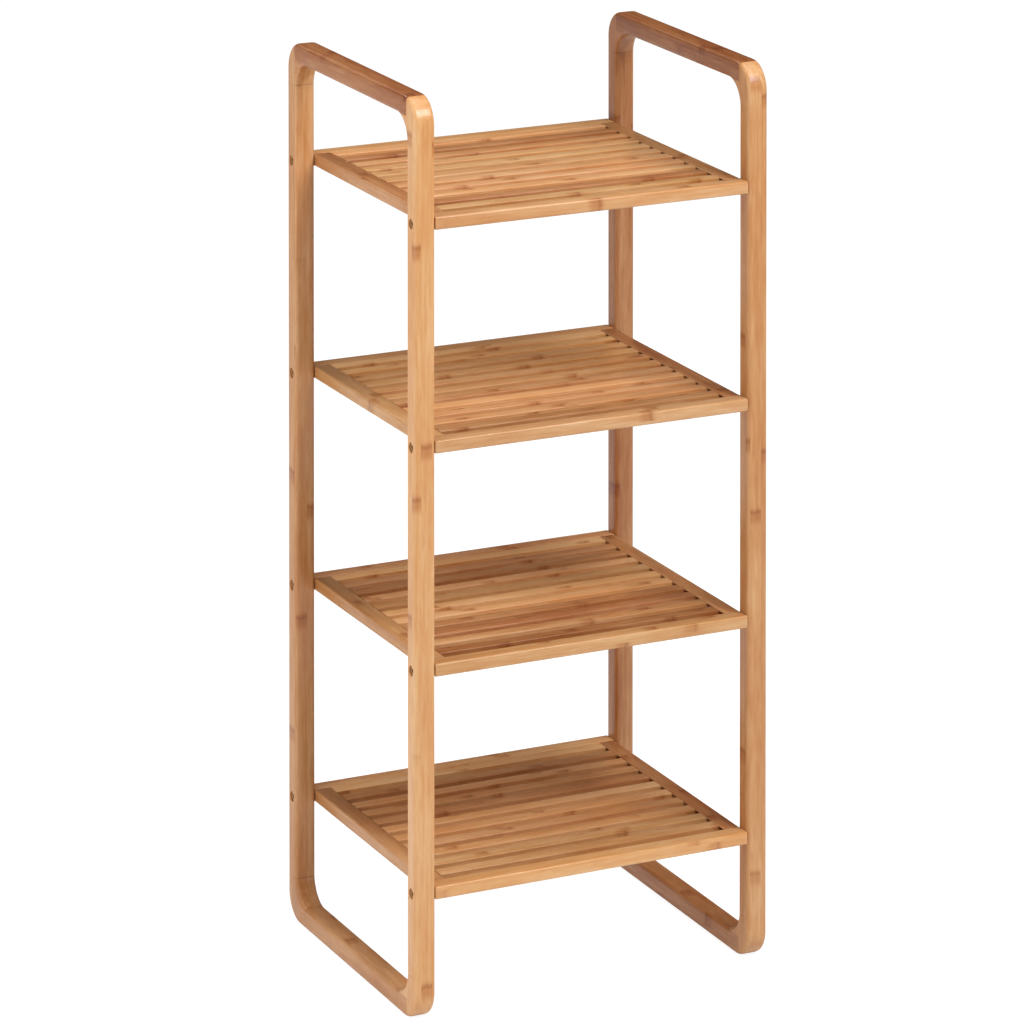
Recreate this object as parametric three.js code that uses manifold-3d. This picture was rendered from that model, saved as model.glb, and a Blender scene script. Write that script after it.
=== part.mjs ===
// A four-tier bamboo shoe rack: two upright side loops that carry four slatted shelves.
// Millimetres, +Z up, X across the rack, front at -Y, origin on the floor under the middle.

import * as THREE from 'three';
import { mergeVertices } from 'three/addons/utils/BufferGeometryUtils.js';
import Module from 'manifold-3d';

const wasm = await Module();
wasm.setup();

// ---- Driving dimensions ----------------------------------------------------------------

const WIDTH = 386;
const DEPTH = 314;
const HEIGHT = 900;

// Side loops: each is a closed ring of four straight members and four corner blocks.
const MEMBER_ACROSS = 22;
const MEMBER_DEEP = 20;
const MEMBER_ROUNDING = 4;
const LOOP_OUTER_RADIUS = 28;
const LOOP_INNER_RADIUS = 26;
const CORNER_ARM = 44;

// Shelves: a frame of four rails round eleven slats.
const SHELF_COUNT = 4;
const LOWEST_SHELF_TOP = 131.5;
const SHELF_SPACING = 217.5;
const SHELF_THICKNESS = 12.5;
const RAIL_WIDTH = 18;
const RAIL_CHAMFER = 1;
const SLAT_COUNT = 11;
const SLAT_GAP = 10;
const SLAT_THICKNESS = 9;
const SLAT_CHAMFER = 0.8;
const BACK_JOINT = 0.4;

// Joinery inside a shelf.
const FIT_GAP = 0.3;
const TENON_LENGTH = 4;
const TENON_WIDTH = 10;
const TENON_THICKNESS = 6;
const TONGUE_LENGTH = 6;
const TONGUE_THICKNESS = 5;
const TONGUE_DROP = 2.4;

// Connector screws: one through each upright into the end of a front or back rail.
const HEAD_RADIUS = 4.7;
const HEAD_THICKNESS = 3;
const HEAD_RECESS = 1.6;
const SOCKET_ACROSS_CORNERS = 4.4;
const SOCKET_DEPTH = 2;
const SHANK_RADIUS = 2.5;
const SHANK_IN_RAIL = 26;
const SCREW_SIDES = 12;
const PILOT_SIDES = 8;
const SOCKET_SIDES = 6;

// How far a cutting block or rod runs past the face that it cuts.
const PAST = 1;

// Corner points nearer than this are one point of the solid.
const WELD_DISTANCE = 1e-4;

// ---- Sizes that follow from them -------------------------------------------------------

const SHELF_LENGTH = WIDTH - 2 * MEMBER_ACROSS;
const SIDE_RAIL_LENGTH = DEPTH - 2 * RAIL_WIDTH;
const SLAT_LENGTH = SHELF_LENGTH - 2 * RAIL_WIDTH;
const SLAT_PITCH = (SIDE_RAIL_LENGTH - BACK_JOINT) / SLAT_COUNT;
const SLAT_WIDTH = SLAT_PITCH - SLAT_GAP;
const RAIL_Y = (DEPTH - RAIL_WIDTH) / 2;
const UPRIGHT_Y = (DEPTH - MEMBER_DEEP) / 2;
const SIDE_RAIL_X = (SHELF_LENGTH - RAIL_WIDTH) / 2;
const LOOP_X = (WIDTH - MEMBER_ACROSS) / 2;
const TONGUE_Z = SHELF_THICKNESS / 2 - TONGUE_DROP - TONGUE_THICKNESS / 2;

const LOWEST_SHELF_MIDDLE = LOWEST_SHELF_TOP - SHELF_THICKNESS / 2;
const shelfMiddle = (tier) => LOWEST_SHELF_MIDDLE + (tier - 1) * SHELF_SPACING;

// ---- Colours ---------------------------------------------------------------------------

const HONEY = 0xd9b083;
const AMBER = 0xb9814f;
const CHESTNUT = 0xa56a43;
const BRONZE = 0x6e4a33;

function bamboo(color) {
  return new THREE.MeshStandardMaterial({ color, roughness: 0.42, metalness: 0 });
}

function bronzedSteel() {
  return new THREE.MeshStandardMaterial({ color: BRONZE, roughness: 0.5, metalness: 0.8 });
}

function piece(name, geometry, material) {
  const mesh = new THREE.Mesh(geometry, material);
  mesh.name = name;
  return mesh;
}

// ---- Solids: joining and cutting -------------------------------------------------------

function toSolid(geometry) {
  const bare = geometry.clone();
  bare.deleteAttribute('normal');
  bare.deleteAttribute('uv');
  const merged = mergeVertices(bare, WELD_DISTANCE);
  return new wasm.Manifold(new wasm.Mesh({
    numProp: 3,
    vertProperties: new Float32Array(merged.attributes.position.array),
    triVerts: new Uint32Array(merged.index.array),
  }));
}

function toGeometry(solid) {
  const mesh = solid.getMesh();
  const shared = new THREE.BufferGeometry();
  shared.setAttribute('position', new THREE.BufferAttribute(mesh.vertProperties, 3));
  shared.setIndex(new THREE.BufferAttribute(mesh.triVerts, 1));
  const faceted = shared.toNonIndexed();
  faceted.computeVertexNormals();
  return faceted;
}

// A plain block from one corner to the opposite one.
function block(low, high) {
  const size = high.map((value, axis) => value - low[axis]);
  const middle = high.map((value, axis) => (value + low[axis]) / 2);
  return toSolid(new THREE.BoxGeometry(...size).translate(...middle));
}

// A prism or cylinder along X between two ends, centred on y and z.
function rod(fromX, toX, y, z, radius, sides) {
  const geometry = new THREE.CylinderGeometry(radius, radius, toX - fromX, sides);
  geometry.rotateZ(Math.PI / 2).translate((fromX + toX) / 2, y, z);
  return toSolid(geometry);
}

// ---- Outlines and bars -----------------------------------------------------------------

function roundedRectangle(path, width, height, radius) {
  const right = width / 2 - radius;
  const top = height / 2 - radius;
  const corners = [[right, top], [-right, top], [-right, -top], [right, -top]];
  corners.forEach(([x, y], quarter) => {
    const start = quarter * Math.PI / 2;
    path.absarc(x, y, radius, start, start + Math.PI / 2, false);
  });
  return path;
}

function chamferedRectangle(width, height, chamfer) {
  const x = width / 2;
  const y = height / 2;
  return new THREE.Shape([
    new THREE.Vector2(x - chamfer, -y),
    new THREE.Vector2(x, chamfer - y),
    new THREE.Vector2(x, y - chamfer),
    new THREE.Vector2(x - chamfer, y),
    new THREE.Vector2(chamfer - x, y),
    new THREE.Vector2(-x, y - chamfer),
    new THREE.Vector2(-x, chamfer - y),
    new THREE.Vector2(chamfer - x, -y),
  ]);
}

const ALONG_X = new THREE.Matrix4().makeBasis(
  new THREE.Vector3(0, 1, 0), new THREE.Vector3(0, 0, 1), new THREE.Vector3(1, 0, 0));
const ALONG_Y = new THREE.Matrix4().makeBasis(
  new THREE.Vector3(0, 0, 1), new THREE.Vector3(1, 0, 0), new THREE.Vector3(0, 1, 0));

// A bar centred on the origin: its section is extruded along the axis that the matrix names.
function bar(section, length, along) {
  const geometry = new THREE.ExtrudeGeometry(section, { depth: length, bevelEnabled: false });
  return toSolid(geometry.translate(0, 0, -length / 2).applyMatrix4(along));
}

// ---- Side loops ------------------------------------------------------------------------

// The whole ring with its long edges rounded over, before it is divided at the glue joints.
function loopBlank() {
  const outline = roundedRectangle(new THREE.Shape(), DEPTH, HEIGHT, LOOP_OUTER_RADIUS);
  outline.holes.push(roundedRectangle(
    new THREE.Path(), DEPTH - 2 * MEMBER_DEEP, HEIGHT - 2 * MEMBER_DEEP, LOOP_INNER_RADIUS));
  const geometry = new THREE.ExtrudeGeometry(outline, {
    depth: MEMBER_ACROSS - 2 * MEMBER_ROUNDING,
    curveSegments: 6,
    bevelEnabled: true,
    bevelSegments: 2,
    bevelThickness: MEMBER_ROUNDING,
    bevelSize: MEMBER_ROUNDING,
    bevelOffset: -MEMBER_ROUNDING,
  });
  geometry.translate(0, 0, MEMBER_ROUNDING - MEMBER_ACROSS / 2).applyMatrix4(ALONG_X);
  return toSolid(geometry.translate(0, 0, HEIGHT / 2));
}

// The counterbored clearance hole for a connector screw, entered from the face at -X.
function screwHole(y, z) {
  const face = -MEMBER_ACROSS / 2;
  const seat = face + HEAD_RECESS + HEAD_THICKNESS;
  const counterbore = rod(face - PAST, seat, y, z, HEAD_RADIUS + FIT_GAP, SCREW_SIDES);
  const clearance = rod(face, -face + PAST, y, z, SHANK_RADIUS + FIT_GAP, SCREW_SIDES);
  return counterbore.add(clearance);
}

function drilled(upright, y) {
  let solid = upright;
  for (let tier = 1; tier <= SHELF_COUNT; tier += 1) {
    solid = solid.subtract(screwHole(y, shelfMiddle(tier)));
  }
  return solid;
}

// The loop on one side. It is made with its outer face at -X; the right one is turned half
// round, which also swaps its front and back.
function sideLoop(side, turned) {
  const loop = new THREE.Group();
  const blank = loopBlank();
  const endX = MEMBER_ACROSS / 2 + PAST;
  const endY = DEPTH / 2 + PAST;
  const jointY = DEPTH / 2 - CORNER_ARM;
  const jointZ = HEIGHT - CORNER_ARM;
  const [near, far] = turned ? ['back', 'front'] : ['front', 'back'];

  const divided = (lowY, highY, lowZ, highZ) =>
    blank.intersect(block([-endX, lowY, lowZ], [endX, highY, highZ]));
  const add = (name, solid, color) =>
    loop.add(piece(`${side}_${name}`, toGeometry(solid), bamboo(color)));

  const nearUpright = divided(-endY, -jointY, CORNER_ARM, jointZ);
  const farUpright = divided(jointY, endY, CORNER_ARM, jointZ);
  add(`${near}_upright`, drilled(nearUpright, -UPRIGHT_Y), HONEY);
  add(`${far}_upright`, drilled(farUpright, UPRIGHT_Y), HONEY);
  add('top_rail', divided(-jointY, jointY, jointZ, HEIGHT + PAST), CHESTNUT);
  add('bottom_rail', divided(-jointY, jointY, -PAST, CORNER_ARM), CHESTNUT);
  add(`top_${near}_corner`, divided(-endY, -jointY, jointZ, HEIGHT + PAST), AMBER);
  add(`top_${far}_corner`, divided(jointY, endY, jointZ, HEIGHT + PAST), AMBER);
  add(`bottom_${near}_corner`, divided(-endY, -jointY, -PAST, CORNER_ARM), AMBER);
  add(`bottom_${far}_corner`, divided(jointY, endY, -PAST, CORNER_ARM), AMBER);
  return loop;
}

// ---- Shelves ---------------------------------------------------------------------------

// The front rail; the back rail is the same piece turned half round. It is bored at both ends
// for the connector screws and mortised in its inner face for the side rails' tenons.
function longRail() {
  const section = chamferedRectangle(RAIL_WIDTH, SHELF_THICKNESS, RAIL_CHAMFER);
  const innerFace = RAIL_WIDTH / 2;
  const mortiseEnd = innerFace - TENON_LENGTH - FIT_GAP;
  const halfWidth = TENON_WIDTH / 2 + FIT_GAP;
  const halfThick = TENON_THICKNESS / 2 + FIT_GAP;
  const mortise = block(
    [-halfWidth, mortiseEnd, -halfThick], [halfWidth, innerFace + PAST, halfThick]);
  const tip = SHELF_LENGTH / 2 + PAST;
  const bottom = SHELF_LENGTH / 2 - SHANK_IN_RAIL - PAST;
  const screwY = RAIL_Y - UPRIGHT_Y;
  const pilotRadius = SHANK_RADIUS + FIT_GAP;
  return bar(section, SHELF_LENGTH, ALONG_X)
    .subtract(mortise.translate([-SIDE_RAIL_X, 0, 0]))
    .subtract(mortise.translate([SIDE_RAIL_X, 0, 0]))
    .subtract(rod(-tip, -bottom, screwY, 0, pilotRadius, PILOT_SIDES))
    .subtract(rod(bottom, tip, screwY, 0, pilotRadius, PILOT_SIDES));
}

// The left side rail; the right one is the same piece turned half round. It has a tenon at
// each end and a groove along its inner face for the slats' tongues.
function sideRail() {
  const section = chamferedRectangle(SHELF_THICKNESS, RAIL_WIDTH, RAIL_CHAMFER);
  const tenonTip = SIDE_RAIL_LENGTH / 2 + TENON_LENGTH;
  const tenons = block(
    [-TENON_WIDTH / 2, -tenonTip, -TENON_THICKNESS / 2],
    [TENON_WIDTH / 2, tenonTip, TENON_THICKNESS / 2]);
  const innerFace = RAIL_WIDTH / 2;
  const halfGroove = TONGUE_THICKNESS / 2 + FIT_GAP;
  const grooveEnd = SIDE_RAIL_LENGTH / 2 - PAST;
  const groove = block(
    [innerFace - TONGUE_LENGTH - FIT_GAP, -grooveEnd, TONGUE_Z - halfGroove],
    [innerFace + PAST, grooveEnd, TONGUE_Z + halfGroove]);
  return bar(section, SIDE_RAIL_LENGTH, ALONG_Y).add(tenons).subtract(groove);
}

// The slats of one shelf, held edge to edge by the tongue strip at each end.
function slatPanel() {
  const section = chamferedRectangle(SLAT_WIDTH, SLAT_THICKNESS, SLAT_CHAMFER);
  const slat = bar(section, SLAT_LENGTH, ALONG_X);
  const slatZ = (SHELF_THICKNESS - SLAT_THICKNESS) / 2;
  const frontEdge = -SIDE_RAIL_LENGTH / 2 + SLAT_GAP;
  const backEdge = SIDE_RAIL_LENGTH / 2 - BACK_JOINT;
  const inset = SLAT_CHAMFER + PAST;
  const root = SLAT_LENGTH / 2 - PAST;
  const tip = SLAT_LENGTH / 2 + TONGUE_LENGTH;
  const strip = block(
    [root, frontEdge + inset, TONGUE_Z - TONGUE_THICKNESS / 2],
    [tip, backEdge - inset, TONGUE_Z + TONGUE_THICKNESS / 2]);

  let panel = strip.add(strip.translate([-root - tip, 0, 0]));
  for (let index = 0; index < SLAT_COUNT; index += 1) {
    const y = frontEdge + SLAT_WIDTH / 2 + index * SLAT_PITCH;
    panel = panel.add(slat.translate([0, y, slatZ]));
  }
  return panel;
}

// A connector screw with its head at -X: a round head with a hexagon socket on a plain shank.
function connectorScrew() {
  const headTop = HEAD_RECESS - MEMBER_ACROSS / 2;
  const headBottom = headTop + HEAD_THICKNESS;
  const tip = MEMBER_ACROSS / 2 + SHANK_IN_RAIL;
  const head = rod(headTop, headBottom, 0, 0, HEAD_RADIUS, SCREW_SIDES);
  const shank = rod(headBottom - PAST, tip, 0, 0, SHANK_RADIUS, SCREW_SIDES);
  const socket = rod(
    headTop - PAST, headTop + SOCKET_DEPTH, 0, 0, SOCKET_ACROSS_CORNERS / 2, SOCKET_SIDES);
  return head.add(shank).subtract(socket);
}

const longRailGeometry = toGeometry(longRail());
const sideRailGeometry = toGeometry(sideRail());
const slatGeometry = toGeometry(slatPanel());
const screwGeometry = toGeometry(connectorScrew());

// Sets a piece down at a place on the rack, turned half round where it is on the far side.
function placed(mesh, x, y, z, turned) {
  mesh.position.set(x, y, z);
  mesh.rotation.z = turned ? Math.PI : 0;
  return mesh;
}

const SIDES = [['left', -1], ['right', 1]];
const ENDS = [['front', -1], ['back', 1]];

function shelf(tier) {
  const group = new THREE.Group();
  const name = `shelf_${tier}`;
  for (const [end, sign] of ENDS) {
    const rail = piece(`${name}_${end}_rail`, longRailGeometry, bamboo(HONEY));
    group.add(placed(rail, 0, sign * RAIL_Y, 0, sign > 0));
  }
  for (const [side, sign] of SIDES) {
    const rail = piece(`${name}_${side}_rail`, sideRailGeometry, bamboo(CHESTNUT));
    group.add(placed(rail, sign * SIDE_RAIL_X, 0, 0, sign > 0));
  }
  group.add(piece(`${name}_slats`, slatGeometry, bamboo(AMBER)));
  for (const [side, outward] of SIDES) {
    for (const [end, sign] of ENDS) {
      const screw = piece(`${name}_screw_${side}_${end}`, screwGeometry, bronzedSteel());
      group.add(placed(screw, outward * LOOP_X, sign * UPRIGHT_Y, 0, outward > 0));
    }
  }
  group.position.z = shelfMiddle(tier);
  return group;
}

// ---- The rack --------------------------------------------------------------------------

const rack = new THREE.Group();
SIDES.forEach(([side, sign]) => {
  rack.add(placed(sideLoop(side, sign > 0), sign * LOOP_X, 0, 0, sign > 0));
});
for (let tier = 1; tier <= SHELF_COUNT; tier += 1) rack.add(shelf(tier));

export default rack;
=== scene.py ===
# The four-tier bamboo shoe rack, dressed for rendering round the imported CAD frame.
# Metres, X across the rack, front at -Y, up +Z, floor at 0.

import math
import random
from itertools import pairwise

import bmesh
import bpy
from mathutils import Matrix, Vector


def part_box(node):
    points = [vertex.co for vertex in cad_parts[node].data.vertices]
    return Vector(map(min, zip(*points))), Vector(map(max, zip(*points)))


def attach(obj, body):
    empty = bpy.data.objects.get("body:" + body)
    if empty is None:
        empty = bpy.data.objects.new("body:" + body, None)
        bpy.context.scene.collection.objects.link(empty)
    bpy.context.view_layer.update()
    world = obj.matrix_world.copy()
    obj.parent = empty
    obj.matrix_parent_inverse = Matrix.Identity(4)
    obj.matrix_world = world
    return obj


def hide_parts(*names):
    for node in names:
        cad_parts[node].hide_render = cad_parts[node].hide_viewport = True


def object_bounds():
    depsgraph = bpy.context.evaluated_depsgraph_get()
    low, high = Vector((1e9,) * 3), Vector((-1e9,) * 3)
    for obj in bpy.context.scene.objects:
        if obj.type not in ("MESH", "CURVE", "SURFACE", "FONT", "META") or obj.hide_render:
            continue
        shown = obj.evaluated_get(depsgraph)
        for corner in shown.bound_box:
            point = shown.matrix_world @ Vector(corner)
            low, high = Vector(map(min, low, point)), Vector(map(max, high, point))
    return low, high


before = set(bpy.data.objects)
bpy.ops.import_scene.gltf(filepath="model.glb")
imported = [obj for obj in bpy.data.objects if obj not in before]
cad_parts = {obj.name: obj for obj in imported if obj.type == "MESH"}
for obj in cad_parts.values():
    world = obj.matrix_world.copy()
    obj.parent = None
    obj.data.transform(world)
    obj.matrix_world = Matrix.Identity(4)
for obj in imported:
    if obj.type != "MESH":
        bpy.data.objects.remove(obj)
cad_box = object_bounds()

MM = 0.001
SHELVES = (1, 2, 3, 4)
SIDES = ("left", "right")
ENDS = ("front", "back")
LEVELS = ("top", "bottom")
SLATS_IN_A_SHELF = 11

# ---- Shape details that a node's box doesn't tell --------------------------------------

ARC_STEPS = 5
EASING_STEPS = 3
SMALLEST_ROUNDING = 0.1 * MM
LOOP_OUTER_RADIUS = 28 * MM
LOOP_INNER_RADIUS = 26 * MM
LOOP_ROUNDING = 4 * MM
LOOP_MEMBER_DEEP = 20 * MM
CORNER_STEPS = 24
# How much the edges along a glue line are broken, and how far its darkening reaches.
GLUE_LINE_EASING = 0.04 * MM
GLUE_LINE_FADE = 0.4 * MM

RAIL_ROUNDING = 1.8 * MM
RAIL_END_EASING = 0.9 * MM
SIDE_RAIL_EASING = 0.3 * MM
TENON_WIDTH = 10 * MM
TENON_THICKNESS = 6 * MM
TENON_EASING = 0.3 * MM
FIT_GAP = 0.3 * MM
# How far a cutting shape runs past the face that it cuts, and how blunt its edges are.
PAST = 1 * MM
CUTTER_ROUNDING = 0.02 * MM
# How many sides a facet of a bore has.
FACET_SIDES = 4

# Between two slats, and between the last slat and the back rail.
SLAT_GAP = 10 * MM
SLAT_BACK_JOINT = 0.4 * MM
SLAT_ROUNDING = 0.8 * MM
SLAT_END_EASING = 0.25 * MM
TONGUE_LENGTH = 6 * MM
TONGUE_SIDE_STEP = 2 * MM
TONGUE_THICKNESS = 5 * MM
# How far a tongue's top lies under the slat's, and the groove's top under the rail's.
TONGUE_DROP = 1.5 * MM
GROOVE_LIP = 0.6 * MM

SCREW_SIDES = 24
HEAD_THICKNESS = 3 * MM
HEAD_EASING = 0.6 * MM
HEAD_EASING_STEPS = 4
SHANK_RADIUS = 2.5 * MM
TIP_TAPER = 1 * MM
SOCKET_ACROSS_CORNERS = 4.4 * MM
SOCKET_DEPTH = 2 * MM
SOCKET_FLARE = 0.2 * MM
HOLE_FLARE = 0.5 * MM

SHARPEST_SMOOTHED = math.radians(35)

# ---- Shades of bamboo, 0 for the darkest strip to 10 for the palest --------------------

DARKEST = (0.27, 0.075, 0.014)
PALEST = (0.715, 0.385, 0.162)
PALEST_SHADE = 10

# How much a piece may differ by chance from its shade, and each channel of its colour then.
SHADE_SPREAD = 0.3
CHANNEL_SPREAD = 0.03

# Keyed by shelf, slats from front to back.
SLAT_SHADES = {
    1: (7, 7, 7, 6, 8, 9, 5, 5, 6, 4, 10),
    2: (2, 6, 4, 4, 10, 10, 6, 8, 4, 6, 10),
    3: (5, 8, 8, 10, 6, 8, 7, 8, 7, 10, 10),
    4: (7, 4, 9, 9, 9, 8, 8, 9, 7, 4, 9),
}
LONG_RAIL_SHADES = {1: 9, 2: 7, 3: 6.5, 4: 7}
# From shelf 1 to shelf 4.
SIDE_RAIL_SHADES = {
    "left": (4.5, 5, 6.5, 4),
    "right": (2.5, 4, 2.5, 4),
}
UPRIGHT_SHADES = {
    "left_front": 8,
    "left_back": 5.5,
    "right_front": 6,
    "right_back": 3,
}
LOOP_RAIL_SHADES = {
    "left_top": 1.5,
    "left_bottom": 6,
    "right_top": 1,
    "right_bottom": 3,
}
BRONZE_COLOUR = (0.48, 0.27, 0.11, 1)


def shade_colour(shade):
    """The linear colour of a shade."""
    share = shade / PALEST_SHADE
    return [dark + share * (pale - dark) for dark, pale in zip(DARKEST, PALEST)]


# ---- Sections and rings ----------------------------------------------------------------

AXES = {"x": (0, 1, 2), "y": (1, 0, 2), "z": (2, 0, 1)}


def section(half_u, half_v, radius):
    """A rectangle with rounded corners, as points round its middle."""
    radius = min(radius, half_u, half_v)
    points = []
    for quarter, (side_u, side_v) in enumerate(((1, 1), (-1, 1), (-1, -1), (1, -1))):
        for step in range(ARC_STEPS + 1):
            angle = (quarter + step / ARC_STEPS) * math.pi / 2
            points.append((
                side_u * (half_u - radius) + radius * math.cos(angle),
                side_v * (half_v - radius) + radius * math.sin(angle),
            ))
    return points


def bar_ring(axis, along, middle, half, radius):
    """A section square to an axis. middle and half are pairs, in the order of AXES."""
    main, first, second = AXES[axis]
    ring = []
    for u, v in section(*half, radius):
        point = Vector()
        point[main] = along
        point[first] = middle[0] + u
        point[second] = middle[1] + v
        ring.append(point)
    return ring


def eased_end(at, inward, middle, half, radius, easing, axis, steps=EASING_STEPS):
    """The rings that turn a bar's end over in a quarter round, from the end inwards."""
    rings = []
    for step in range(steps + 1):
        angle = math.pi / 2 * (1 - step / steps)
        inset = easing * (1 - math.cos(angle))
        along = at + inward * easing * (1 - math.sin(angle))
        smaller = (half[0] - inset, half[1] - inset)
        rounding = max(radius - inset, SMALLEST_ROUNDING)
        rings.append(bar_ring(axis, along, middle, smaller, rounding))
    return rings


def bar_rings(axis, start, end, middle, half, radius, easing, tip=None, between=()):
    """A bar with both ends eased. tip, if given, is (length, middle, half) of a tenon at each
    end, and between lists the places along the bar that need a ring of their own."""
    first = eased_end(start, 1, middle, half, radius, easing, axis)
    last = eased_end(end, -1, middle, half, radius, easing, axis)
    if tip:
        length, tip_middle, tip_half = tip
        first = tenon_rings(axis, start, -length, tip_middle, tip_half) + first
        last = tenon_rings(axis, end, length, tip_middle, tip_half) + last
    added = [bar_ring(axis, along, middle, half, radius) for along in between]
    return first + added + last[::-1]


def tenon_rings(axis, shoulder, length, middle, half):
    """A tenon's rings, from its tip back to the shoulder."""
    inward = -1 if length > 0 else 1
    tip = eased_end(shoulder + length, inward, middle, half, TENON_EASING, TENON_EASING,
                    axis, steps=1)
    return tip + [bar_ring(axis, shoulder, middle, half, TENON_EASING)]


def loft(name, rings):
    """A closed mesh through rings that all have the same number of points."""
    shape = bmesh.new()
    loops = [[shape.verts.new(point) for point in ring] for ring in rings]
    for near, far in pairwise(loops):
        for here in range(len(near)):
            there = (here + 1) % len(near)
            shape.faces.new((near[here], near[there], far[there], far[here]))
    shape.faces.new(loops[0][::-1])
    shape.faces.new(loops[-1])
    bmesh.ops.recalc_face_normals(shape, faces=shape.faces)
    mesh = bpy.data.meshes.new(name)
    shape.to_mesh(mesh)
    shape.free()
    return mesh


def add_to_scene(thing):
    bpy.context.scene.collection.objects.link(thing)


# ---- Cutting ---------------------------------------------------------------------------

def box_cutter(low, high):
    """A plain block between two corners, for cutting mortises and grooves."""
    middle = [(a + b) / 2 for a, b in zip(low, high)]
    half = [(b - a) / 2 for a, b in zip(low, high)]
    rings = [
        bar_ring("x", along, middle[1:], half[1:], CUTTER_ROUNDING)
        for along in (middle[0] - half[0], middle[0] + half[0])
    ]
    return loft("cutter", rings)


def turned(name, centre, outward, profile, hexagon_up_to=0):
    """A mesh turned about X. profile holds (how far in from centre, radius) pairs, and its first
    hexagon_up_to rings are hexagons. outward is -1 where the piece faces -X."""
    rings = []
    for index, (inward, radius) in enumerate(profile):
        ring = []
        for step in range(SCREW_SIDES):
            angle = step / SCREW_SIDES * 2 * math.pi
            reach = radius
            if index < hexagon_up_to:
                off_corner = (angle + math.pi / 6) % (math.pi / 3) - math.pi / 6
                reach *= math.cos(math.pi / 6) / math.cos(math.pi / 6 - abs(off_corner))
            ring.append(centre + Vector((
                -outward * inward, reach * math.cos(angle), reach * math.sin(angle))))
        rings.append(ring)
    return loft(name, rings)


def cut(mesh, cutters):
    """The mesh with every cutter's shape taken out of it. The solver now and then loses one
    four-sided facet of a bore, so such a hole in the surface is closed again."""
    piece = bpy.data.objects.new("being_cut", mesh)
    add_to_scene(piece)
    tools = []
    for cutter in cutters:
        tool = bpy.data.objects.new("cutter", cutter)
        add_to_scene(tool)
        modifier = piece.modifiers.new("cut", "BOOLEAN")
        modifier.operation = "DIFFERENCE"
        modifier.solver = "EXACT"
        modifier.object = tool
        tools.append(tool)
    evaluated = piece.evaluated_get(bpy.context.evaluated_depsgraph_get())
    result = bpy.data.meshes.new_from_object(evaluated)
    shape = bmesh.new()
    shape.from_mesh(result)
    bmesh.ops.holes_fill(shape, edges=shape.edges, sides=FACET_SIDES)
    bmesh.ops.recalc_face_normals(shape, faces=shape.faces)
    shape.to_mesh(result)
    shape.free()
    for used in [piece, *tools]:
        bpy.data.objects.remove(used)
    return result


# ---- Turning a mesh into a piece of the rack -------------------------------------------

def grain_frame(direction, across):
    """Rotates a point so that x runs along the grain and y across the strips."""
    x = Vector(direction).normalized()
    y = Vector(across).normalized()
    return Matrix((x, y, x.cross(y)))


# Each piece takes its grain from a place of its own, up to so many metres off each way.
PATTERN_SPAN = 4

GRAIN_X = grain_frame((1, 0, 0), (0, 1, 0))
GRAIN_Y = grain_frame((0, 1, 0), (1, 0, 0))
GRAIN_Z = grain_frame((0, 0, 1), (1, 0, 0))


def write(mesh, name, kind, field, value_at):
    """Gives every point of a mesh a value of its own, for the material to read."""
    layer = mesh.attributes.new(name, kind, "POINT")
    for vertex in mesh.vertices:
        setattr(layer.data[vertex.index], field, value_at(vertex.co))


def bamboo_stock(name, turn, shade):
    """A length of bamboo to cut pieces from: (where a point lies in the wood, its colour)."""
    chance = random.Random(name)
    shift = Vector([chance.uniform(0, PATTERN_SPAN) for _ in range(3)])
    nearby_shade = shade + chance.uniform(-SHADE_SPREAD, SHADE_SPREAD)
    colour = [
        channel * (1 + chance.uniform(-CHANNEL_SPREAD, CHANNEL_SPREAD))
        for channel in shade_colour(nearby_shade)
    ]
    return lambda point: turn @ point + shift, colour


def mark_wood(mesh, stock, use=""):
    """Writes for the material which wood a mesh is cut from."""
    place, colour = stock
    write(mesh, f"{use}grain", "FLOAT_VECTOR", "vector", place)
    write(mesh, f"{use}tone", "FLOAT_COLOR", "color", lambda point: (*colour, 1))


def mark_seams(mesh, distance):
    """Writes how strongly each point of a loop shows the glue line beside it: 1 on the line at
    the loop's inside, fading along the wood and towards the loop's outer faces."""
    low, high = cad_box

    def strength(point):
        away = (distance(point) - GLUE_LINE_EASING) / (GLUE_LINE_FADE - GLUE_LINE_EASING)
        near = 1 - min(max(away, 0), 1)
        depth = min(point.y - low.y, high.y - point.y, point.z - low.z, high.z - point.z)
        inside = min(max(depth / LOOP_MEMBER_DEEP, 0), 1)
        return near * inside

    write(mesh, "seam", "FLOAT", "value", strength)


def add_piece(name, mesh, material, node):
    """Puts a mesh into the scene as a piece that stands for a CAD node."""
    mesh.name = name
    mesh.materials.clear()
    mesh.materials.append(material)
    mesh.shade_smooth()
    mesh.set_sharp_from_angle(angle=SHARPEST_SMOOTHED)
    piece = bpy.data.objects.new(name, mesh)
    add_to_scene(piece)
    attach(piece, "root")
    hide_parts(node)


def add_wood(name, mesh, stock, material, node):
    """A bamboo piece cut from a stock."""
    mark_wood(mesh, stock)
    add_piece(f"bamboo_{name}", mesh, material, node)


# ---- Materials -------------------------------------------------------------------------

# A strip of bamboo is this many times as deep as it is wide.
STRIP_DEPTH_TO_WIDTH = 2.2

# How far inside a corner joint the upright's wood gives way to the rail's, from and to.
JOINT_BLEND = (0.1 * MM, 0.4 * MM)

# The rings where a stem had its nodes. A ring and its stain are full up to the first distance
# from their middles and gone at the second. RING_SLIP moves each strip's rings off the next's.
RING_WIDTHS = (0.5 * MM, 3.5 * MM)
STAIN_WIDTHS = (2 * MM, 12 * MM)
STAIN_OFFSET = 4 * MM
RING_WANDER = 6 * MM
RING_SLIP = 7.31

# The share of the way along its stretch of stem where a ring lies, at least and at most. Then
# the chances at which a ring starts to show and shows in full.
RING_PLACES = (0.2, 0.8)
RING_SHOWN = (0.25, 0.6)

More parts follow.
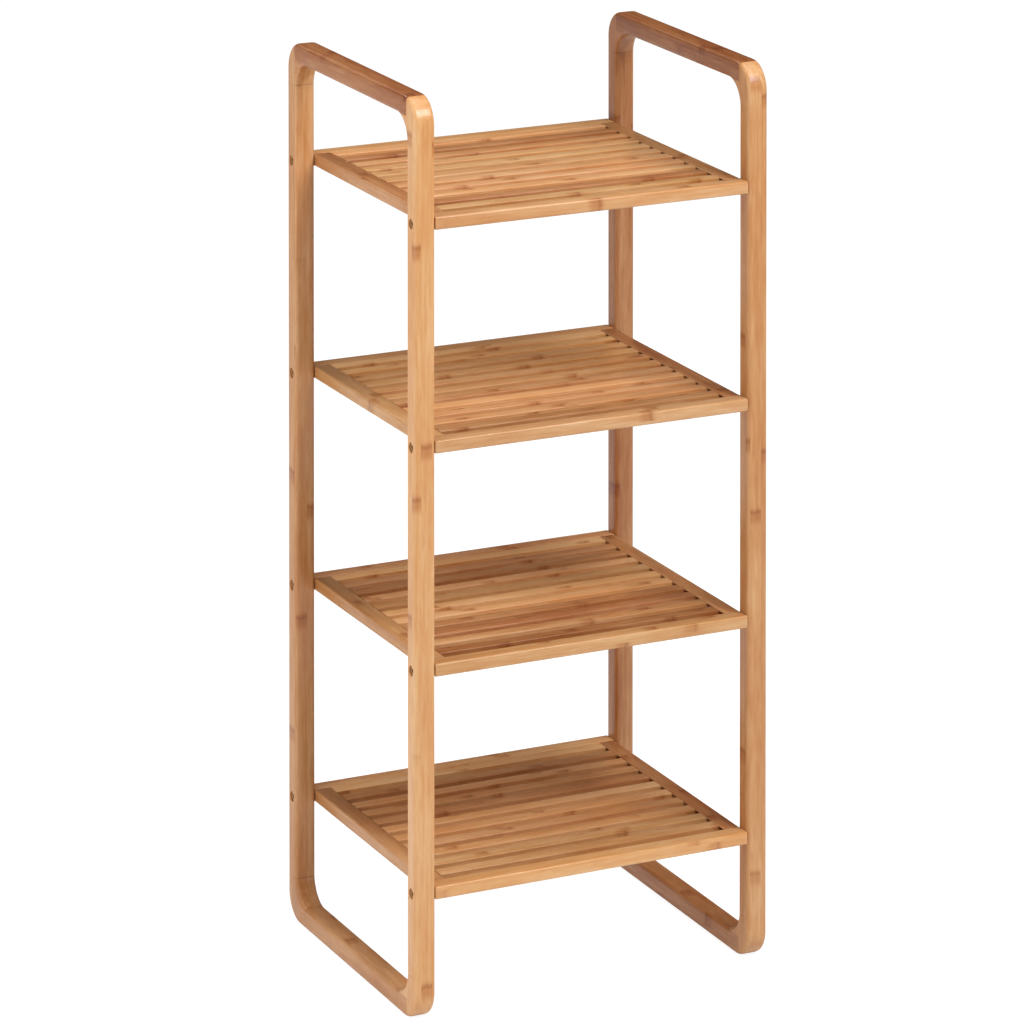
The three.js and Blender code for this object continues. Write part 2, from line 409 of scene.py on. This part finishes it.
# The levels of the fibre pattern at which a pore starts and is full, and how much of their
# tints pores and glue lines take.
PORE_LEVELS = (0.62, 0.72)
PORE_STRENGTH = 0.6
GLUE_STRENGTH = 0.8

# How squarely a face has to look to the front or back to start to take the painted shade of
# the gaps between slats, and to take it in full.
GAP_SHADE_FACING = (0.3, 0.9)

# What is drawn by chance for a strip. Each has a number of its own to set it apart.
SHADE_DRAW = 1.0
RING_PLACE_DRAW = 3.0
RING_SLIP_DRAW = 5.0
RING_SHOWN_DRAW = 9.0

TURNING_MARKS_TO_A_METRE = 9000

STAIN_TINT = (0.80, 0.66, 0.54, 1)
RING_TINT = (0.62, 0.46, 0.35, 1)
PORE_TINT = (0.74, 0.62, 0.52, 1)
GLUE_TINT = (0.42, 0.32, 0.25, 1)
# Painted shade for the slats' faces that lie down in the gaps between them.
GAP_SHADE_TINT = (0.50, 0.36, 0.26, 1)
TARNISH_TINT = (0.55, 0.42, 0.34, 1)


class Graph:
    """A short way to write the node tree of a material or a world."""

    def __init__(self, owner):
        self.owner = owner
        owner.use_nodes = True
        self.tree = owner.node_tree
        self.tree.nodes.clear()

    def node(self, kind, inputs=(), **settings):
        """A new node. An input is either a number or colour, or another node's output."""
        made = self.tree.nodes.new(kind)
        for key, value in settings.items():
            setattr(made, key, value)
        for socket, value in dict(inputs).items():
            if isinstance(value, bpy.types.NodeSocket):
                self.tree.links.new(value, made.inputs[socket])
            else:
                made.inputs[socket].default_value = value
        return made

    def math(self, operation, *values):
        return self.node("ShaderNodeMath", enumerate(values), operation=operation).outputs[0]

    def attribute(self, name, output):
        return self.node("ShaderNodeAttribute", attribute_name=name).outputs[output]

    def split(self, vector):
        return self.node("ShaderNodeSeparateXYZ", {0: vector}).outputs

    def join(self, *values):
        return self.node("ShaderNodeCombineXYZ", enumerate(values)).outputs[0]

    def noise(self, vector, detail=2.0, roughness=0.5):
        inputs = {"Vector": vector, "Scale": 1.0, "Detail": detail, "Roughness": roughness}
        return self.node("ShaderNodeTexNoise", inputs).outputs[0]

    def pattern(self, place, along, across, detail=2.0, roughness=0.5):
        """Noise with so many cycles to a metre along the grain and across it."""
        scaled = [self.math("MULTIPLY", part, cycles)
                  for part, cycles in zip(place, (along, across, across))]
        return self.noise(self.join(*scaled), detail, roughness)

    def chance(self, *parts):
        """A number from 0 to 1 that is the same wherever the parts are the same."""
        made = self.node("ShaderNodeTexWhiteNoise", {"Vector": self.join(*parts)})
        return made.outputs["Value"]

    def ramp(self, value, low, high, to_low=0.0, to_high=1.0):
        """A smooth change from to_low, where the value is low, to to_high, where it is high."""
        inputs = {"Value": value, "From Min": low, "From Max": high,
                  "To Min": to_low, "To Max": to_high}
        made = self.node("ShaderNodeMapRange", inputs, interpolation_type="SMOOTHSTEP")
        return made.outputs[0]

    def mixed(self, kind, share, one, other, blend="MIX"):
        first, result = {"FLOAT": (2, 0), "VECTOR": (4, 1), "RGBA": (6, 2)}[kind]
        made = self.node("ShaderNodeMix", {0: share, first: one, first + 1: other},
                         data_type=kind, blend_type=blend)
        return made.outputs[result]

    def finish(self, shader, output="ShaderNodeOutputMaterial"):
        self.node(output, {"Surface": shader.outputs[0]})
        return self.owner


def wood_at(graph):
    """(the place in the wood, the wood's colour) at a point. A piece with a rail let into it
    shows the rail's wood wherever it is inside the joint both ways."""
    inside = graph.split(graph.attribute("joint", "Vector"))
    depth = graph.math("MINIMUM", inside[0], inside[1])
    rail_share = graph.ramp(depth, *JOINT_BLEND)
    place = graph.mixed("VECTOR", rail_share, graph.attribute("grain", "Vector"),
                        graph.attribute("rail_grain", "Vector"))
    colour = graph.mixed("RGBA", rail_share, graph.attribute("tone", "Color"),
                         graph.attribute("rail_tone", "Color"))
    return graph.split(place), colour


def node_rings(graph, place, slip, spacing):
    """How strongly a stem's dark node rings show: (the thin ring, the stain beside it)."""
    walk = graph.math("MULTIPLY_ADD", slip, RING_SLIP, graph.math("DIVIDE", place[0], spacing))
    cell = graph.math("FLOOR", walk)
    centre = graph.ramp(graph.chance(cell, slip, RING_PLACE_DRAW), 0, 1, *RING_PLACES)
    off_centre = graph.math("SUBTRACT", graph.math("FRACT", walk), centre)
    wander = graph.math("MULTIPLY_ADD", graph.pattern(place, 30, 150),
                        RING_WANDER, -RING_WANDER / 2)
    metres = graph.math("MULTIPLY_ADD", off_centre, spacing, wander)
    ring = graph.ramp(graph.math("ABSOLUTE", metres), *RING_WIDTHS, 1, 0)
    beside = graph.math("ABSOLUTE", graph.math("ADD", metres, STAIN_OFFSET))
    stain = graph.ramp(beside, *STAIN_WIDTHS, 1, 0)
    shown = graph.ramp(graph.chance(cell, slip, RING_SHOWN_DRAW), *RING_SHOWN)
    return graph.math("MULTIPLY", ring, shown), graph.math("MULTIPLY", stain, shown)


def deepened(graph, colour, power, patterns):
    """The wood's colour to a power, where above 1 is deeper and below 1 paler. patterns holds
    (a pattern, two of its values, what each of the two adds to the power)."""
    for pattern, low, high, at_low, at_high in patterns:
        power = graph.math("ADD", power, graph.ramp(pattern, low, high, at_low, at_high))
    return graph.node("ShaderNodeGamma", {"Color": colour, "Gamma": power}).outputs[0]


def darkening_marks(graph, ring, stain, fibres, gap_shade_strength):
    """(a tint, how strongly it shows) for each thing that darkens the wood, and for the painted
    shade down the gaps between slats. The seam attribute tells where a glue line is."""
    pores = graph.math("MULTIPLY", graph.ramp(fibres, *PORE_LEVELS), PORE_STRENGTH)
    glue = graph.math("MULTIPLY", graph.attribute("seam", "Fac"), GLUE_STRENGTH)
    facing = graph.split(graph.node("ShaderNodeNewGeometry").outputs["Normal"])
    # Painted shade: faces towards the front or back, down in the gaps between slats, are
    # darkened.
    gap_shade = graph.ramp(graph.math("ABSOLUTE", facing[1]), *GAP_SHADE_FACING, 0, gap_shade_strength)
    return (
        (STAIN_TINT, stain),
        (RING_TINT, graph.math("MULTIPLY", ring, fibres)),
        (PORE_TINT, pores),
        (GLUE_TINT, glue),
        (GAP_SHADE_TINT, gap_shade),
    )


def lacquered(graph, colour, relief, roughness, coat_roughness):
    """A satin surface under a thin coat of lacquer."""
    bump = graph.node("ShaderNodeBump", {
        "Strength": 0.35,
        "Distance": 0.12 * MM,
        "Height": relief,
    })
    return graph.node("ShaderNodeBsdfPrincipled", {
        "Base Color": colour,
        "Roughness": roughness,
        "Normal": bump.outputs[0],
        "Specular IOR Level": 0.3,
        "Coat Weight": 0.4,
        "Coat Roughness": coat_roughness,
    })


def bamboo(name, strip_width, strip_contrast, node_spacing, gloss, gap_shade_strength=0.0):
    """Laminated bamboo under satin lacquer. strip_contrast is how much its strips differ, gloss
    its middle roughness, and the last argument how much painted shade darkens its faces towards
    the front and back, the faces that lie down in the gaps between slats."""
    graph = Graph(bpy.data.materials.new(name))
    place, wood_colour = wood_at(graph)
    strip_depth = STRIP_DEPTH_TO_WIDTH * strip_width
    strip = graph.math("FLOOR", graph.math("DIVIDE", place[1], strip_width))
    layer = graph.math("FLOOR", graph.math("DIVIDE", place[2], strip_depth))

    streaks = graph.pattern(place, 9, 320, detail=4, roughness=0.6)
    fibres = graph.pattern(place, 45, 1500)
    patches = graph.pattern(place, 7, 45)
    mottle = graph.pattern(place, 38, 260, detail=3)
    slip = graph.chance(strip, layer, RING_SLIP_DRAW)
    ring, stain = node_rings(graph, place, slip, node_spacing)

    strip_shade = graph.chance(strip, layer, SHADE_DRAW)
    power = graph.ramp(strip_shade, 0, 1, 1 - strip_contrast, 1 + strip_contrast)
    colour = deepened(graph, wood_colour, power, (
        (streaks, 0.3, 0.7, 0.08, -0.08),
        (fibres, 0.3, 0.7, 0.05, -0.05),
        (patches, 0.3, 0.7, 0.11, -0.11),
        (mottle, 0.3, 0.75, -0.05, 0.10),
    ))
    for tint, share in darkening_marks(graph, ring, stain, fibres, gap_shade_strength):
        colour = graph.mixed("RGBA", share, colour, tint, "MULTIPLY")

    relief = graph.math("MULTIPLY_ADD", fibres, -0.5, graph.math("MULTIPLY", streaks, -0.5))
    relief = graph.math("MULTIPLY_ADD", ring, 0.6, relief)
    roughness = graph.ramp(streaks, 0.25, 0.75, gloss - 0.06, gloss + 0.08)
    coat_roughness = graph.ramp(patches, 0.3, 0.7, 0.16, 0.24)
    return graph.finish(lacquered(graph, colour, relief, roughness, coat_roughness))


def bronze():
    """Bronzed steel: turned, brushed and a little tarnished."""
    graph = Graph(bpy.data.materials.new("bronzed_steel"))
    place = graph.split(graph.attribute("grain", "Vector"))
    off_axis = graph.join(0.0, place[1], place[2])
    radius = graph.node("ShaderNodeVectorMath", {0: off_axis}, operation="LENGTH")
    marks = graph.math("MULTIPLY", radius.outputs["Value"], TURNING_MARKS_TO_A_METRE)
    turning = graph.noise(graph.join(marks, 0.0, 0.0), detail=3)
    tarnish = graph.pattern(place, 500, 500, detail=4)
    colour = graph.mixed("RGBA", graph.ramp(tarnish, 0.4, 0.7),
                         graph.attribute("tone", "Color"), TARNISH_TINT, "MULTIPLY")
    bump = graph.node("ShaderNodeBump", {
        "Strength": 0.3,
        "Distance": 0.05 * MM,
        "Height": turning,
    })
    return graph.finish(graph.node("ShaderNodeBsdfPrincipled", {
        "Base Color": colour,
        "Metallic": 0.35,
        "Roughness": graph.ramp(tarnish, 0.3, 0.7, 0.32, 0.55),
        "Normal": bump.outputs[0],
    }))


LOOP_BAMBOO = bamboo("loop_bamboo_lacquered", 12 * MM, 0.06, 0.31, 0.42)
RAIL_BAMBOO = bamboo("rail_bamboo_lacquered", 9 * MM, 0.06, 0.24, 0.42)
# The slats' faces towards the front and back take painted shade, standing in for the shade in
# the gaps.
SLAT_BAMBOO = bamboo("slat_bamboo_lacquered", 7.6 * MM, 0.04, 0.21, 0.40, gap_shade_strength=0.35)
BRONZE = bronze()

# ---- Screws and their holes ------------------------------------------------------------

def screw_place(node):
    """(the middle of a screw's head, its head radius, its length, -1 if it faces -X)."""
    low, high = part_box(node)
    outward = -1 if low.x + high.x < 0 else 1
    middle = (low + high) / 2
    head = Vector((low.x if outward < 0 else high.x, middle.y, middle.z))
    return head, (high.z - low.z) / 2, high.x - low.x, outward


def hole_cutter(node, face_x):
    """The counterbored hole for a screw, its mouth eased, entered from the face at face_x."""
    head, head_radius, length, outward = screw_place(node)
    recess = abs(face_x - head.x)
    bore = head_radius + FIT_GAP
    seat = recess + HEAD_THICKNESS
    profile = (
        (-PAST, bore + HOLE_FLARE + PAST),
        (HOLE_FLARE, bore),
        (seat, bore),
        (seat, SHANK_RADIUS + FIT_GAP),
        (length + recess, SHANK_RADIUS + FIT_GAP),
    )
    face = Vector((face_x, head.y, head.z))
    return turned("cutter", face, outward, profile)


def add_screw(node):
    head, radius, length, outward = screw_place(node)
    socket = SOCKET_ACROSS_CORNERS / 2
    profile = [
        (SOCKET_DEPTH, socket),
        (SOCKET_FLARE, socket),
        (0, socket + SOCKET_FLARE),
    ]
    for step in range(HEAD_EASING_STEPS + 1):
        angle = math.pi / 2 * step / HEAD_EASING_STEPS
        inset = HEAD_EASING * (1 - math.sin(angle))
        profile.append((HEAD_EASING * (1 - math.cos(angle)), radius - inset))
    profile += [
        (HEAD_THICKNESS, radius),
        (HEAD_THICKNESS, SHANK_RADIUS),
        (length - TIP_TAPER, SHANK_RADIUS),
        (length, SHANK_RADIUS - TIP_TAPER),
    ]
    mesh = turned(node, head, outward, profile, hexagon_up_to=3)
    write(mesh, "grain", "FLOAT_VECTOR", "vector", lambda point: point - head)
    write(mesh, "tone", "FLOAT_COLOR", "color", lambda point: BRONZE_COLOUR)
    add_piece(f"bronze_{node}", mesh, BRONZE, node)


# ---- Side loops ------------------------------------------------------------------------

def add_straight_member(node, axis, stock, cutters=()):
    """One straight part of a loop, between two glue lines."""
    low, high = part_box(node)
    main, first, second = AXES[axis]
    middle = (low + high) / 2
    half = (high - low) / 2
    rings = bar_rings(
        axis, low[main], high[main], (middle[first], middle[second]),
        (half[first], half[second]), LOOP_ROUNDING, GLUE_LINE_EASING,
        between=(low[main] + GLUE_LINE_FADE, high[main] - GLUE_LINE_FADE))
    mesh = loft(node, rings)
    if cutters:
        mesh = cut(mesh, cutters)
    mark_seams(mesh, lambda point: min(point[main] - low[main], high[main] - point[main]))
    add_wood(node, mesh, stock, LOOP_BAMBOO, node)


def ray_to_corner(arm, angle, margin, radius):
    """How far a ray from (arm, arm) travels to an outline that lies margin in from both axes
    and has its corner rounded. The ray starts off parallel to the first axis."""
    direction = Vector((math.cos(angle), math.sin(angle)))
    for here, other in ((0, 1), (1, 0)):
        if direction[here] > 0:
            travel = (arm - margin) / direction[here]
            if arm - travel * direction[other] >= margin + radius:
                return travel
    offset = Vector((1, 1)) * (arm - margin - radius)
    along = offset.dot(direction)
    return along + math.sqrt(along ** 2 - offset.length_squared + radius ** 2)


def corner_cuts(reach):
    """(angle, how far its outline is drawn in) for each ring of a corner block whose middle is
    reach away from where its rays start. The ends are eased as the glue lines are."""
    quarter = math.pi / 2
    easing = GLUE_LINE_EASING / reach
    fade = GLUE_LINE_FADE / reach
    between = [fade + (quarter - 2 * fade) * step / CORNER_STEPS
               for step in range(CORNER_STEPS + 1)]
    return [
        (0, GLUE_LINE_EASING),
        (easing, 0),
        *[(angle, 0) for angle in between],
        (quarter - easing, 0),
        (quarter, GLUE_LINE_EASING),
    ]


def add_corner(node, side_y, side_z, upright_stock, rail_stock):
    """A quarter-ring block. side_y and side_z are -1 or 1 for the corner that it makes. It is
    cut from the upright's wood and has the end of the rail let into it."""
    low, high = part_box(node)
    arm = high.z - low.z
    outer_y = low.y if side_y < 0 else high.y
    outer_z = low.z if side_z < 0 else high.z
    middle_x = (low.x + high.x) / 2
    half_x = (high.x - low.x) / 2

    def ring_at(angle, inset):
        inner = ray_to_corner(arm, angle, LOOP_MEMBER_DEEP, LOOP_INNER_RADIUS)
        outer = ray_to_corner(arm, angle, 0, LOOP_OUTER_RADIUS)
        middle, half = (outer + inner) / 2, (outer - inner) / 2
        ring = []
        rounding = max(LOOP_ROUNDING - inset, SMALLEST_ROUNDING)
        for u, v in section(half_x - inset, half - inset, rounding):
            out = middle + v
            ring.append(Vector((
                middle_x + u,
                outer_y - side_y * (arm - out * math.cos(angle)),
                outer_z - side_z * (arm - out * math.sin(angle)),
            )))
        return ring

    cuts = corner_cuts(arm - LOOP_MEMBER_DEEP / 2)
    mesh = loft(node, [ring_at(angle, inset) for angle, inset in cuts])
    joint_y = outer_y - side_y * arm
    joint_z = outer_z - side_z * arm
    mark_seams(mesh, lambda point: min(abs(point.y - joint_y), abs(point.z - joint_z)))
    mark_wood(mesh, rail_stock, "rail_")
    write(mesh, "joint", "FLOAT_VECTOR", "vector", lambda point: (
        side_y * (outer_y - point.y) - LOOP_MEMBER_DEEP,
        LOOP_MEMBER_DEEP - side_z * (outer_z - point.z),
        0,
    ))
    add_wood(node, mesh, upright_stock, LOOP_BAMBOO, node)


def add_loop(side):
    outward = -1 if side == "left" else 1
    rail_stocks = {}
    for level in LEVELS:
        node = f"{side}_{level}_rail"
        rail_stocks[level] = bamboo_stock(node, GRAIN_Y, LOOP_RAIL_SHADES[f"{side}_{level}"])
        add_straight_member(node, "y", rail_stocks[level])
    for end in ENDS:
        node = f"{side}_{end}_upright"
        low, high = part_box(node)
        face_x = low.x if outward < 0 else high.x
        cutters = [hole_cutter(f"shelf_{tier}_screw_{side}_{end}", face_x)
                   for tier in SHELVES]
        upright_stock = bamboo_stock(node, GRAIN_Z, UPRIGHT_SHADES[f"{side}_{end}"])
        add_straight_member(node, "z", upright_stock, cutters)
        side_y = -1 if end == "front" else 1
        for level in LEVELS:
            side_z = -1 if level == "bottom" else 1
            add_corner(f"{side}_{level}_{end}_corner", side_y, side_z, upright_stock,
                       rail_stocks[level])


# ---- Shelves ---------------------------------------------------------------------------

def add_long_rail(tier, end):
    """A front or back rail, mortised for the side rails and bored for the screws."""
    node = f"shelf_{tier}_{end}_rail"
    low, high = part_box(node)
    middle, half = (low + high) / 2, (high - low) / 2
    inner_y = high.y if end == "front" else low.y
    inward = 1 if end == "front" else -1
    cutters = []
    for side in SIDES:
        side_low, side_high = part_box(f"shelf_{tier}_{side}_rail")
        side_x = (side_low.x + side_high.x) / 2
        tip_y = side_low.y if end == "front" else side_high.y
        ys = sorted((tip_y - inward * FIT_GAP, inner_y + inward * PAST))
        reach_x = TENON_WIDTH / 2 + FIT_GAP
        reach_z = TENON_THICKNESS / 2 + FIT_GAP
        cutters.append(box_cutter(
            (side_x - reach_x, ys[0], middle.z - reach_z),
            (side_x + reach_x, ys[1], middle.z + reach_z)))
        head, _, length, outward = screw_place(f"shelf_{tier}_screw_{side}_{end}")
        bore = SHANK_RADIUS + FIT_GAP
        profile = ((HEAD_THICKNESS, bore), (length + PAST, bore))
        cutters.append(turned("cutter", head, outward, profile))
    rings = bar_rings("x", low.x, high.x, (middle.y, middle.z), (half.y, half.z),
                      RAIL_ROUNDING, RAIL_END_EASING)
    mesh = cut(loft(node, rings), cutters)
    stock = bamboo_stock(node, GRAIN_X, LONG_RAIL_SHADES[tier])
    add_wood(node, mesh, stock, RAIL_BAMBOO, node)


def tongue_middle_z(top):
    return top - TONGUE_DROP - TONGUE_THICKNESS / 2


def add_side_rail(tier, side):
    """A side rail between the long rails, with stub tenons and a groove for the slats."""
    node = f"shelf_{tier}_{side}_rail"
    low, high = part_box(node)
    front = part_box(f"shelf_{tier}_front_rail")[1].y
    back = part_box(f"shelf_{tier}_back_rail")[0].y
    middle, half = (low + high) / 2, (high - low) / 2
    tenon = (front - low.y, (middle.x, middle.z), (TENON_WIDTH / 2, TENON_THICKNESS / 2))
    rings = bar_rings("y", front, back, (middle.x, middle.z), (half.x, half.z),
                      RAIL_ROUNDING, SIDE_RAIL_EASING, tenon)
    inner_x = high.x if side == "left" else low.x
    inward = 1 if side == "left" else -1
    xs = sorted((inner_x - inward * (TONGUE_LENGTH + FIT_GAP), inner_x + inward * PAST))
    bottom = tongue_middle_z(high.z) - TONGUE_THICKNESS / 2 - FIT_GAP
    groove = box_cutter((xs[0], front + PAST, bottom),
                        (xs[1], back - PAST, high.z - GROOVE_LIP))
    mesh = cut(loft(node, rings), [groove])
    stock = bamboo_stock(node, GRAIN_Y, SIDE_RAIL_SHADES[side][tier - 1])
    add_wood(node, mesh, stock, RAIL_BAMBOO, node)


def add_slats(tier):
    """Eleven slats, the last one against the back rail, each with a tongue at both ends."""
    node = f"shelf_{tier}_slats"
    low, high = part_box(node)
    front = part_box(f"shelf_{tier}_front_rail")[1].y
    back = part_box(f"shelf_{tier}_back_rail")[0].y - SLAT_BACK_JOINT
    pitch = (back - front) / SLATS_IN_A_SHELF
    half = ((pitch - SLAT_GAP) / 2, (high.z - low.z) / 2)
    end_x = high.x - TONGUE_LENGTH
    for number in range(1, SLATS_IN_A_SHELF + 1):
        middle = (front + number * pitch - half[0], (low.z + high.z) / 2)
        tongue_middle = (middle[0], tongue_middle_z(high.z))
        tongue_half = (half[0] - TONGUE_SIDE_STEP, TONGUE_THICKNESS / 2)
        tongue = (TONGUE_LENGTH, tongue_middle, tongue_half)
        rings = bar_rings("x", -end_x, end_x, middle, half, SLAT_ROUNDING,
                          SLAT_END_EASING, tongue)
        name = f"shelf_{tier}_slat_{number:02d}"
        stock = bamboo_stock(name, GRAIN_X, SLAT_SHADES[tier][number - 1])
        add_wood(name, loft(name, rings), stock, SLAT_BAMBOO, node)


def add_shelf(tier):
    for end in ENDS:
        add_long_rail(tier, end)
    for side in SIDES:
        add_side_rail(tier, side)
        for end in ENDS:
            add_screw(f"shelf_{tier}_screw_{side}_{end}")
    add_slats(tier)


# ---- Floor, light and camera -----------------------------------------------------------

FLOOR_REACH = 60

# How white the floor's paint is as light bounces off it and as the camera sees it, and how
# brightly it glows to the camera and in reflections.
FLOOR_WHITENESS = 0.9
FLOOR_WHITENESS_SEEN = 0.25
FLOOR_GLOW_SEEN = 0.92
FLOOR_GLOW_MIRRORED = 0.15

# Brightness of the white studio to the camera, as light on the rack and in reflections.
STUDIO_SEEN = 1.05
STUDIO_CAST = 0.36
STUDIO_MIRRORED = 0.05

# Name, place, width and height in metres, power in watts. All aim at the rack's middle.
SOFTBOXES = (
    ("key_light", (0.65, -1.80, 2.50), 1.3, 1.0, 60),
    ("left_light", (-1.0, -0.1, 0.8), 0.6, 1.4, 6),
    ("low_left_card", (-0.9, 1.6, 0.3), 1.6, 0.6, 0.2),
    ("top_light", (0.3, 0.1, 3.2), 1.4, 1.4, 18),
    ("back_light", (-0.9, 2.0, 2.5), 0.9, 0.9, 10),
)


def add_floor():
    """A plain white floor that runs out of the picture on every side. The camera and mirrored
    light see it glow, which whitens it and leaves only a faint contact shadow."""
    shape = bmesh.new()
    bmesh.ops.create_grid(shape, x_segments=1, y_segments=1, size=FLOOR_REACH)
    mesh = bpy.data.meshes.new("floor")
    shape.to_mesh(mesh)
    shape.free()
    graph = Graph(bpy.data.materials.new("pale_floor"))
    path = graph.node("ShaderNodeLightPath").outputs
    paint = graph.ramp(path["Is Camera Ray"], 0, 1, FLOOR_WHITENESS, FLOOR_WHITENESS_SEEN)
    white = graph.node("ShaderNodeBsdfDiffuse", {"Color": graph.join(paint, paint, paint)})
    seen = graph.math("MULTIPLY", path["Is Camera Ray"], FLOOR_GLOW_SEEN)
    strength = graph.math("MULTIPLY_ADD", path["Is Glossy Ray"], FLOOR_GLOW_MIRRORED, seen)
    glow = graph.node("ShaderNodeEmission", {"Strength": strength})
    both = graph.node("ShaderNodeAddShader", {0: white.outputs[0], 1: glow.outputs[0]})
    mesh.materials.append(graph.finish(both))
    floor = bpy.data.objects.new("floor", mesh)
    add_to_scene(floor)


def add_world():
    graph = Graph(bpy.data.worlds.new("studio"))
    path = graph.node("ShaderNodeLightPath").outputs
    strength = graph.mixed("FLOAT", path["Is Camera Ray"], STUDIO_CAST, STUDIO_SEEN)
    strength = graph.mixed("FLOAT", path["Is Glossy Ray"], strength, STUDIO_MIRRORED)
    white = graph.node("ShaderNodeBackground", {"Color": (1, 1, 1, 1), "Strength": strength})
    bpy.context.scene.world = graph.finish(white, "ShaderNodeOutputWorld")


def add_softboxes():
    low, high = cad_box
    middle = (low + high) / 2
    for name, spot, width, height, power in SOFTBOXES:
        data = bpy.data.lights.new(name, "AREA")
        data.shape = "RECTANGLE"
        data.size = width
        data.size_y = height
        data.energy = power
        light = bpy.data.objects.new(name, data)
        light.location = spot
        light.rotation_euler = (light.location - middle).to_track_quat("Z", "Y").to_euler()
        add_to_scene(light)


# The photographer's camera looks 25.5 degrees to the right of +Y and 1.5 degrees down. Film
# and lens are in millimetres, and the shift is in widths of the film.
CAMERA_SPOT = Vector((-2.2178, -4.6178, 1.9800))
CAMERA_TURN = math.radians(-25.508)
CAMERA_TILT = math.radians(90 - 1.530)
CAMERA_FILM = 36
CAMERA_LENS = 179.93
CAMERA_SHIFT = -1.3652

# Metres from CAMERA_SPOT up to which the lens stays shifted, and from which it doesn't.
SHIFTED_UP_TO = 0.05
UNSHIFTED_FROM = 0.1


def add_camera():
    """A camera with its lens shifted down, which keeps uprights upright. A driver takes the
    shift away as soon as the camera stands anywhere else."""
    data = bpy.data.cameras.new("camera")
    data.sensor_width = CAMERA_FILM
    data.lens = CAMERA_LENS
    camera = bpy.data.objects.new("camera", data)
    camera.location = CAMERA_SPOT
    camera.rotation_euler = (CAMERA_TILT, 0, CAMERA_TURN)
    spot = bpy.data.objects.new("camera_spot", None)
    spot.location = CAMERA_SPOT
    add_to_scene(camera)
    add_to_scene(spot)

    curve = data.driver_add("shift_y")
    curve.driver.type = "SUM"
    distance = curve.driver.variables.new()
    distance.type = "LOC_DIFF"
    distance.targets[0].id = camera
    distance.targets[1].id = spot
    while curve.modifiers:
        curve.modifiers.remove(curve.modifiers[0])
    for metres, shift in ((0, CAMERA_SHIFT), (SHIFTED_UP_TO, CAMERA_SHIFT), (UNSHIFTED_FROM, 0)):
        point = curve.keyframe_points.insert(metres, shift)
        point.interpolation = "LINEAR"
    bpy.context.scene.camera = camera


for side in SIDES:
    add_loop(side)
for tier in SHELVES:
    add_shelf(tier)
add_floor()
add_world()
add_softboxes()
add_camera()
bpy.context.scene.view_settings.view_transform = "Standard"
